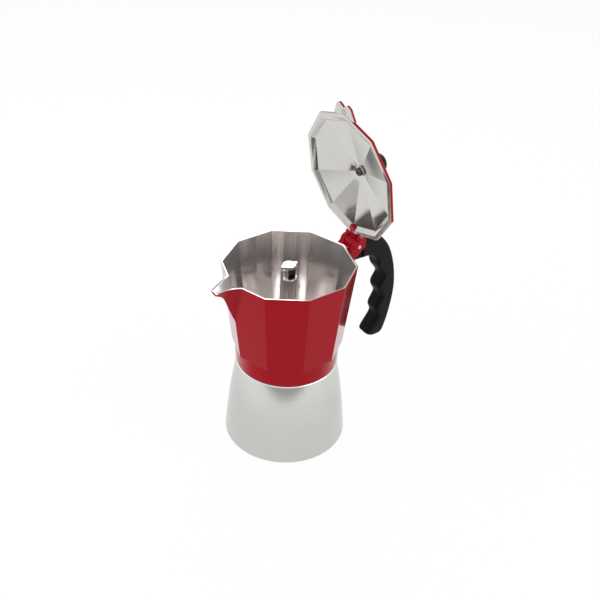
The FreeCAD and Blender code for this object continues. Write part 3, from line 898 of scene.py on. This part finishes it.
def add_hinge(shape):
    slope = (slope_top - slope_foot) / (ear_face - rim_corner + jug_wall)
    inside_wall = rim_corner - jug_wall
    ear = [(inside_wall - ear_root_depth, slope_foot - slope_overlap), (ear_face, slope_top)]
    ear += arc((ear_face - post_bend, post_top - post_bend), post_bend, 0, 90, 5)
    ear += arc((hinge_x + post_bend, post_top - post_bend), post_bend, 90, 180, 5)
    ear += arc((hinge_x, hinge_z), ear_radius, 90, 180, 14)
    ear += [(inside_wall - ear_back_depth, rim - ear_back_drop)]
    for low, high in ((-ear_outer, -ear_inner), (ear_inner, ear_outer)):
        block(shape, ear, low, high, sideways, red)
    slot_front = ear_face - (slope_top - slot_floor) / slope
    saddle = [
        (inside_wall - slot_root_depth, slope_foot - slope_overlap),
        (slot_front, slot_floor),
        (slot_back, slot_floor),
        (slot_back, rim - slot_top_gap),
        (inside_wall, rim - slot_top_gap),
    ]
    block(shape, saddle, -ear_inner, ear_inner, sideways, red)
    tang = [(inside_wall, tang_low), (tang_end, tang_low), (tang_end, tang_high), (inside_wall, tang_high)]
    block(shape, tang, -tang_half, tang_half, sideways, red)


print("hinge pin at", hinge_x, hinge_z)

# %% [markdown]
# ## The column
# In the middle of the jug the coffee rises in a tapered column. It ends in two posts under a flat cap,
# with a window on each side where the coffee comes out. The windows could be cut out of a tube, but it is
# simpler to build what is left: the tube, the posts, a web between them, and the cap, whose ends are the
# rounded ends of the posts. The web and a lining in the bore are painted nearly black, as painted shade for
# the dark inside seen through the windows.

# %% Column
column_foot_radius = 0.009
column_ledge_radius = 0.0066
column_head_radius = 0.0054
column_bore = 0.0044
column_ledge = 0.156
column_cap_foot = 0.1646
column_top = 0.1673
column_overlap = 0.0005
ledge_bevel = 0.0004
foot_fillet = [(0.0015, -0.0005), (0.0005, 0.0008), (-0.0001, 0.0022)]
lining_gap = 0.0001
lining_drop = 0.0006
window_half = 0.0035
post_reach = 0.0076
post_half = 0.0016
post_corner = 0.0009
post_overlap = 0.001
web_half = 0.0007
column_steps = 64


def add_tube(shape):
    profile = [(column_foot_radius + out, jug_floor + up) for out, up in foot_fillet]
    profile += [
        (column_ledge_radius, column_ledge - ledge_bevel),
        (column_ledge_radius - ledge_bevel, column_ledge),
        (column_bore, column_ledge),
        (column_bore, jug_floor - column_overlap),
    ]
    turned(shape, profile, bare, column_steps)


def add_head(shape):
    start = math.degrees(math.asin(post_half / column_head_radius))
    end = math.degrees(math.acos(window_half / column_head_radius))
    upper = arc((0, 0), column_head_radius, start, end, 8)
    lower = [(across, -along) for across, along in upper[::-1]]
    end_face = arc((post_reach - post_corner, post_corner - post_half), post_corner, -90, 0, 4)
    end_face += [(across, -along) for across, along in end_face[::-1]]
    post = lower + end_face + upper
    for turn in (1, -1):
        outline = [(turn * across, along) for across, along in post]
        block(shape, outline, column_ledge - post_overlap, column_cap_foot, upright, bare)
    # The web and the bore's lining are painted nearly black, as painted shade for the dark inside of the
    # column
    web = [(-window_half, -web_half), (window_half, -web_half)]
    web += [(window_half, web_half), (-window_half, web_half)]
    block(shape, web, column_ledge, column_cap_foot, upright, painted_shade)
    lining = column_bore - lining_gap
    bore = [(lining, jug_floor), (lining, column_ledge - lining_drop), (0, jug_floor)]
    turned(shape, bore, painted_shade, column_steps)
    half_cap = end_face + arc((0, 0), column_head_radius, start, 180 - start, 24)
    cap = half_cap + [(-across, -along) for across, along in half_cap]
    block(shape, cap, column_cap_foot, column_top, upright, bare)


print("column top at", column_top, "m")

# %% [markdown]
# ## The jug in one piece
# The real jug is a single casting, lacquered outside and bare inside. Walls, band, hinge and column
# therefore share one mesh and one place in the pot, and each face carries the number of its finish.

# %% Jug
jug_edge_round = 0.0004


def make_jug():
    shape = bmesh.new()
    add_walls(shape)
    add_band(shape)
    add_hinge(shape)
    add_tube(shape)
    add_head(shape)
    finishes = [red_lacquer, drawn_aluminium, painted_shade_aluminium, cast_aluminium]
    place_piece("jug_body", shape, "jug", finishes, jug_edge_round, "collector")


make_jug()

# %% [markdown]
# ## The lid's shell
# The lid is a shallow ten-sided cap. Outside it is red: a short upright skirt and ten low slopes up to the
# knob. Underneath it is bare: a flat edge, a step, and ten slopes that bend at a knee and meet at the
# screw. Rings of ten corners, bridged one after another, make all of it. The slopes meet at angles too
# shallow for the bevel, so those edges are marked as sharp, because they would otherwise be shaded as one
# round bowl. Only the knee stays smooth.

# %% Lid shell
lid_foot = 0.1685
lid_corner = 0.0551
lid_skirt_top = 0.1711
lid_pad_radius = 0.0095
lid_pad = 0.1833
lid_inner_corner = 0.0519
lid_dish_corner = 0.0477
lid_step = 0.1711
lid_knee_corner = 0.013
lid_knee = 0.1784
lid_inner_pad_radius = 0.0052
lid_hollow = 0.1805
crease_angle = math.radians(2)


def crease(shape):
    """Marks the shallow edges between flat faces as sharp, so that they aren't shaded as one curve."""
    bmesh.ops.recalc_face_normals(shape, faces=shape.faces)
    shape.normal_update()
    for edge in shape.edges:
        if len(edge.link_faces) == 2 and crease_angle < edge.calc_face_angle() < sharp_angle:
            edge.smooth = False


def add_lid_shell(shape):
    outer_foot = points(shape, corners(lid_corner, lid_foot))
    outer_skirt = points(shape, corners(lid_corner, lid_skirt_top))
    outer_pad = points(shape, corners(lid_pad_radius, lid_pad))
    inner_foot = points(shape, corners(lid_inner_corner, lid_foot))
    inner_step = points(shape, corners(lid_dish_corner, lid_step))
    inner_knee = points(shape, corners(lid_knee_corner, lid_knee))
    inner_pad = points(shape, corners(lid_inner_pad_radius, lid_hollow))
    bridge(shape, outer_foot, outer_skirt, red)
    bridge(shape, outer_skirt, outer_pad, red)
    skin(shape, outer_pad, red)
    bridge(shape, outer_foot, inner_foot, bare)
    bridge(shape, inner_foot, inner_step, bare)
    bridge(shape, inner_step, inner_knee, bare)
    bridge(shape, inner_knee, inner_pad, bare)
    skin(shape, inner_pad, bare)
    crease(shape)
    for first, second in zip(inner_knee, inner_knee[1:] + inner_knee[:1]):
        shape.edges.get((first, second)).smooth = True


print("lid from", lid_foot, "to", lid_pad, "m")

# %% [markdown]
# ## The lid's tab, tongue and knuckle
# Over the spout the lid has a notched tab to lift it by, with a plain raised ring underneath. At the other
# end a tongue with a round end and rounded lower edges lies across the lid's edge, and carries the knuckle
# on the hinge pin. The whole lid could be drawn open, but its numbers are easy when it is shut. So it is
# drawn shut, and then turned about the pin to the open pose of the photograph.

# %% Lid
lid_open = math.radians(81)
knuckle_radius = 0.005
knuckle_half = 0.0046
tongue_end = 0.046
tongue_top = 0.1725
tongue_steps = [(0.0016, 0.0), (0.0006, 0.0004), (0.0001, 0.0011), (0.0, 0.0019)]
tab_rise = 0.0003
tab_thickness = 0.0024
tab_half_outline = [(-0.0521, 0.013), (-0.0616, 0.0086), (-0.0634, 0.005), (-0.0604, 0.0)]
mark_x = -0.0565
mark_inner = 0.0019
mark_outer = 0.0022
mark_height = 0.00012
mark_overlap = 0.0002
lid_edge_round = 0.0004
to_hinge = Matrix.Translation((hinge_x, 0, hinge_z))
open_lid = to_hinge @ Matrix.Rotation(lid_open, 4, "Y") @ to_hinge.inverted()


def add_tab(shape):
    tab = tab_half_outline + [(across, -along) for across, along in tab_half_outline[-2::-1]]
    tab_foot = lid_foot + tab_rise
    block(shape, tab, tab_foot, lid_foot + tab_thickness, upright, red, bare)
    mark_low = tab_foot - mark_height
    mark_high = tab_foot + mark_overlap
    mark = [(mark_inner, mark_low), (mark_outer, mark_low), (mark_outer, mark_high), (mark_inner, mark_high)]
    before = set(shape.verts)
    turned(shape, mark, bare, steps=40)
    fresh = [vertex for vertex in shape.verts if vertex not in before]
    bmesh.ops.translate(shape, verts=fresh, vec=(mark_x, 0, 0))


def add_tongue(shape):
    rings = []
    for inset, rise in tongue_steps + [(0.0, tongue_top - lid_foot)]:
        reach = knuckle_half - inset
        round_end = arc((tongue_end + knuckle_half, 0), reach, 90, 270, 16)
        outline = [(hinge_x, reach)] + round_end + [(hinge_x, -reach)]
        rings.append(points(shape, [upright(across, along, lid_foot + rise) for across, along in outline]))
    for first, second in zip(rings, rings[1:]):
        bridge(shape, first, second, red)
    skin(shape, rings[0], red)
    skin(shape, rings[-1], red)


def make_lid():
    shape = bmesh.new()
    add_lid_shell(shape)
    add_tab(shape)
    add_tongue(shape)
    barrel = arc((hinge_x, hinge_z), knuckle_radius, 0, 360, 48)[:-1]
    block(shape, barrel, -knuckle_half, knuckle_half, sideways, red)
    bmesh.ops.transform(shape, matrix=open_lid, verts=shape.verts)
    finishes = [red_lacquer, tumbled_aluminium]
    place_piece("lid_cap", shape, "lid", finishes, lid_edge_round, "lid")


make_lid()

# %% [markdown]
# ## The knob
# The knob is moulded, with no sharp edge but the one at its foot. A sphere on a cylinder would show a hard
# joint, so the knob is turned from one smooth profile, a narrow neck that swells into a ball. It is drawn
# on the shut lid and then turned with it.

# %% Knob
knob_profile = [(0.007, 0.0), (0.007, 0.0035), (0.0082, 0.0078), (0.0093, 0.0122), (0.0088, 0.0157),
                (0.0068, 0.0188), (0.0036, 0.0208), (0.0, 0.0215)]
knob_edge_round = 0.0006
moulded = 0


def make_knob():
    shape = bmesh.new()
    row = smooth_row([Vector((radius, 0, height)) for radius, height in knob_profile], 6)
    profile = [(max(place.x, 0.0), lid_pad + place.z) for place in row]
    turned(shape, [(0, lid_pad)] + profile[:-1] + [(0, profile[-1][1])], moulded, steps=96)
    bmesh.ops.transform(shape, matrix=open_lid, verts=shape.verts)
    place_piece("knob_ball", shape, "lid", [black_knob], knob_edge_round, "knob")


make_knob()

# %% [markdown]
# ## The handle's grip
# The handle is a moulded bar that swings out from the hinge and down, with crests and grooves for the
# fingers. A subdivided box would need its cage points far outside the surface. Here it is a row of rounded
# rectangles, each between a point on the fingers' side and a point on the back, and a smooth curve runs
# through each row of points. Near the tail the sections grow rounder, and a few ever smaller rings close
# the end softly.

# %% Handle grip
handle_sections = [
    ((0.0000, -0.0148), (0.0000, 0.0015)),
    ((0.0070, -0.0149), (0.0060, 0.0043)),
    ((0.0136, -0.0176), (0.0156, 0.0036)),
    ((0.0176, -0.0232), (0.0248, -0.0046)),
    ((0.0192, -0.0300), (0.0316, -0.0154)),
    ((0.0264, -0.0418), (0.0366, -0.0305)),
    ((0.0215, -0.0515), (0.0393, -0.0450)),
    ((0.0258, -0.0624), (0.0398, -0.0580)),
    ((0.0208, -0.0734), (0.0382, -0.0725)),
    ((0.0230, -0.0830), (0.0358, -0.0844)),
    ((0.0134, -0.0968), (0.0323, -0.0972)),
    ((0.0142, -0.0998), (0.0312, -0.1000)),
]
handle_half = 0.008
handle_bend = 0.004
tail_bend = 0.0062
tail_share = 0.15
tail_steps = [(0.0005, 0.0010), (0.0014, 0.0019), (0.0028, 0.0025), (0.0045, 0.0027)]
steps_per_section = 8


def handle_row(pairs):
    """A smooth row in the handle's middle plane, from places that count from the ears' face and the rim."""
    return smooth_row([Vector((ear_face + out, 0, rim + up)) for out, up in pairs], steps_per_section)


def handle_ring(shape, inner, outer, bend):
    """A rounded rectangle between two points, with corners of radius bend."""
    across = (outer - inner).normalized()
    far = (outer - inner).length - bend
    ring = []
    for start, along, side in ((-90, far, -1), (0, far, 1), (90, bend, 1), (180, bend, -1)):
        centre = (along, side * (handle_half - bend))
        for reach, sideway in arc(centre, bend, start, start + 90, 6):
            ring.append(inner + across * reach + Vector((0, sideway, 0)))
    return points(shape, ring)


def add_tail(shape, last_ring):
    middle = sum((vertex.co for vertex in last_ring), Vector()) / len(last_ring)
    tail = last_ring
    for inset, drop in tail_steps:
        pulled = []
        for vertex in last_ring:
            inward = (middle - vertex.co).normalized()
            pulled.append(vertex.co + inward * inset - Vector((0, 0, drop)))
        after = points(shape, pulled)
        bridge(shape, tail, after, moulded)
        tail = after
    return tail


def add_grip(shape):
    inner_row = handle_row([inner for inner, outer in handle_sections])
    outer_row = handle_row([outer for inner, outer in handle_sections])
    rings = []
    for number, (inner, outer) in enumerate(zip(inner_row, outer_row)):
        near_tail = max(0.0, 1 - (len(inner_row) - 1 - number) / (tail_share * len(inner_row)))
        rings.append(handle_ring(shape, inner, outer, handle_bend + (tail_bend - handle_bend) * near_tail))
    for first, second in zip(rings, rings[1:]):
        bridge(shape, first, second, moulded)
    tail = add_tail(shape, rings[-1])
    skin(shape, rings[0], moulded)
    skin(shape, tail, moulded)


print("handle reaches out to", round(ear_face + max(outer[0] for inner, outer in handle_sections), 4), "m")

# %% [markdown]
# ## The handle's nose and screw hole
# A nose on the handle reaches in under the hinge and takes up the tang, and a screw from below holds the
# two together. Its round recess is a true hole, so it is cut with a Boolean modifier before the edges are
# rounded. The modifiers are then applied, because the cutter has to go.

# %% Handle
nose_back = 0.0597
nose_low = 0.1536
nose_shoulder = 0.1581
nose_high = 0.1625
nose_slope_end = ear_face - 0.0049
nose_front = ear_face + 0.001
nose_half = 0.006
handle_edge_round = 0.0008
screw_x = 0.0782
screw_recess_low = 0.140
screw_recess_top = 0.15575
screw_recess_radius = 0.0043


def add_nose(shape):
    nose = [(nose_back, nose_shoulder), (nose_slope_end, nose_high), (nose_front, nose_high)]
    nose += [(nose_front, nose_low), (nose_back, nose_low)]
    block(shape, nose, -nose_half, nose_half, sideways, moulded)


def recess_cutter():
    shape = bmesh.new()
    profile = [(0, screw_recess_low), (screw_recess_radius, screw_recess_low)]
    profile += [(screw_recess_radius, screw_recess_top), (0, screw_recess_top)]
    turned(shape, profile, moulded, steps=48)
    bmesh.ops.translate(shape, verts=shape.verts, vec=(screw_x, 0, 0))
    bmesh.ops.recalc_face_normals(shape, faces=shape.faces)
    return add_object("recess", finished_mesh("recess", shape))


def cut_recess(piece):
    cutter = recess_cutter()
    cut = piece.modifiers.new("screw_recess", "BOOLEAN")
    cut.object = cutter
    cut.solver = "EXACT"
    piece.modifiers.move(len(piece.modifiers) - 1, 0)
    bpy.context.view_layer.update()
    evaluated = piece.evaluated_get(bpy.context.evaluated_depsgraph_get())
    result = bpy.data.meshes.new_from_object(evaluated)
    piece.modifiers.clear()
    piece.data = result
    bpy.data.objects.remove(cutter)


def make_handle():
    shape = bmesh.new()
    add_grip(shape)
    add_nose(shape)
    finishes = [black_handle]
    piece = place_piece("handle_grip", shape, "jug", finishes, handle_edge_round, "handle")
    cut_recess(piece)
    print("handle vertices after the recess:", len(piece.data.vertices))


make_handle()

# %% [markdown]
# ## The floor
# The pot stands on a white sheet without a seam. A bright lamp could wash the sheet out to white, but it
# would wash out the pot as well. So to the camera and in reflections the sheet is mostly an even white,
# and the rest is an ordinary matt surface that keeps the pot's shadow. Polished metal and lacquer need
# something to show: in reflections only, a few soft round painted shades lie on the sheet, the widest round
# the pot's foot and the darkest behind it, standing for the pot's shadow. Past a line in front of the pot
# the sheet is painted darker in reflections, as a painted reflection of the darker room.

# %% Floor
floor_radius = 3.0
floor_sides = 96
matt_white = (0.86, 0.86, 0.86, 1)
even_share = 0.93
# Each painted shade, seen only in reflections, has its centre, its reach and its depth, and is at full depth
# over a quarter of its area
painted_floor_shades = [
    ((0.0, 0.0), 0.2, 0.16),
    ((0.115, 0.30), 0.09, 0.9),
    ((0.10, 0.36), 0.09, 0.6),
    ((-0.315, 0.325), 0.11, 0.4),
]
full_depth_area = 0.25
# Past a line this far in front of the pot the sheet is painted darker in reflections: a painted reflection
# of the darker room
sheet_front = (-0.5764, -0.8172)
room_shade_start = 0.207
room_shade_blur = 0.012
room_shade = 0.62


def growing_shade(finish, value, clear_at, full_at, depth):
    """A shade that grows from nothing to its depth between two values."""
    inputs = {"Value": value, "From Min": clear_at, "From Max": full_at, "To Min": 0.0, "To Max": depth}
    return finish.add("ShaderNodeMapRange", inputs=inputs)


# Painted shade for reflections only: soft patches for the pot's shadow, and the darker room past the front
# line
def reflected_shade(finish):
    place = finish.add("ShaderNodeNewGeometry", output="Position")
    across = finish.add("ShaderNodeSeparateXYZ", inputs={"Vector": place}, output="X")
    along = finish.add("ShaderNodeSeparateXYZ", inputs={"Vector": place}, output="Y")
    forward = sheet_front[0] * across + sheet_front[1] * along
    shade = 0.0
    for centre, reach, depth in painted_floor_shades:
        offset = (across - centre[0]) * (across - centre[0]) + (along - centre[1]) * (along - centre[1])
        area = reach * reach
        shade = shade + growing_shade(finish, offset, area, full_depth_area * area, depth)
    painted_room_shade = growing_shade(finish, forward, room_shade_start, room_shade_start + room_shade_blur, room_shade)
    return shade + painted_room_shade


def make_sheet():
    finish = new_finish("white_sheet")
    seen = finish.add("ShaderNodeLightPath", output="Is Camera Ray")
    shine = finish.add("ShaderNodeLightPath", output="Is Glossy Ray")
    through = finish.add("ShaderNodeLightPath", output="Is Transmission Ray")
    # In reflections the even white carries the painted shades and the painted dark room
    even_colour = finish.blend(shine * reflected_shade(finish), (1, 1, 1, 1), (0, 0, 0, 1))
    even = finish.add("ShaderNodeEmission", inputs={"Color": even_colour, "Strength": 1.0})
    matt = finish.add("ShaderNodeBsdfDiffuse", inputs={"Color": matt_white})
    share = even_share * (seen + shine + through)
    surface = finish.add("ShaderNodeMixShader", inputs={0: share, 1: matt, 2: even})
    finish.add("ShaderNodeOutputMaterial", inputs={"Surface": surface})
    return finish.owner


def make_floor():
    shape = bmesh.new()
    angles = [math.tau * number / floor_sides for number in range(floor_sides)]
    disc = [(floor_radius * math.cos(angle), floor_radius * math.sin(angle), 0) for angle in angles]
    skin(shape, points(shape, disc), 0)
    mesh = finished_mesh("floor", shape)
    mesh.materials.append(make_sheet())
    floor = add_object("floor", mesh)


make_floor()
print("floor with", len(painted_floor_shades), "soft shades in its reflections")

# %% [markdown]
# ## The world
# The photograph's light comes softly from all sides. The world is white near the horizon and darker
# overhead, which gives polished metal a change of tone to show. One even white would leave the metal flat.
# The camera sees a plain white backdrop instead, by Light Path, so that the picture's background is white
# without more light on the pot.

# %% World
sky_strength = 0.9
sky_stops = [
    (0.0, (1, 1, 1, 1)),
    (0.58, (1, 1, 1, 1)),
    (0.8, (0.6, 0.59, 0.58, 1)),
    (1.0, (0.45, 0.44, 0.43, 1)),
]


def make_world():
    world = bpy.data.worlds.new("studio")
    finish = Finish(world)
    direction = finish.add("ShaderNodeTexCoord", output="Generated")
    height = finish.add("ShaderNodeSeparateXYZ", inputs={"Vector": direction}, output="Z")
    sky = finish.add("ShaderNodeValToRGB", {"stops": sky_stops}, {"Fac": height})
    light = finish.add("ShaderNodeBackground", inputs={"Color": sky, "Strength": sky_strength})
    backdrop = finish.add("ShaderNodeBackground", inputs={"Color": (1, 1, 1, 1), "Strength": 1.0})
    seen = finish.add("ShaderNodeLightPath", output="Is Camera Ray")
    surface = finish.add("ShaderNodeMixShader", inputs={0: seen, 1: light, 2: backdrop})
    finish.add("ShaderNodeOutputWorld", inputs={"Surface": surface})
    return world


bpy.context.scene.world = make_world()
print("world of strength", sky_strength)

# %% [markdown]
# ## The lamps
# Three large soft lamps shape the pot: one from the left, one from the right, and a wide strip from behind
# that lights the jug's inside. Small lamps would draw hard shadows, which the photograph doesn't have. The
# left lamp is kept out of reflections, because no pane of light shows in the metal there.

# %% Lamps
side_aim = (0, 0, 0.12)
back_aim = (0, 0, 0.13)


def add_lamp(name, place, aim, width, height, power, mirrored_in_metal):
    data = bpy.data.lights.new(name, "AREA")
    data.shape = "RECTANGLE"
    data.size = width
    data.size_y = height
    data.energy = power
    lamp = add_object(name, data)
    lamp.location = place
    lamp.rotation_euler = (Vector(place) - Vector(aim)).to_track_quat("Z", "Y").to_euler()
    lamp.visible_glossy = mirrored_in_metal


add_lamp("left_softbox", (-0.9, 0.35, 0.75), side_aim, 1.1, 1.2, 9.0, False)
add_lamp("right_softbox", (0.55, -0.95, 0.7), side_aim, 1.1, 1.2, 7.0, True)
add_lamp("back_softbox", (0.52, 0.70, 0.72), back_aim, 1.3, 0.26, 3.1, True)
bpy.context.scene.view_settings.view_transform = "Standard"
print("three lamps ready")
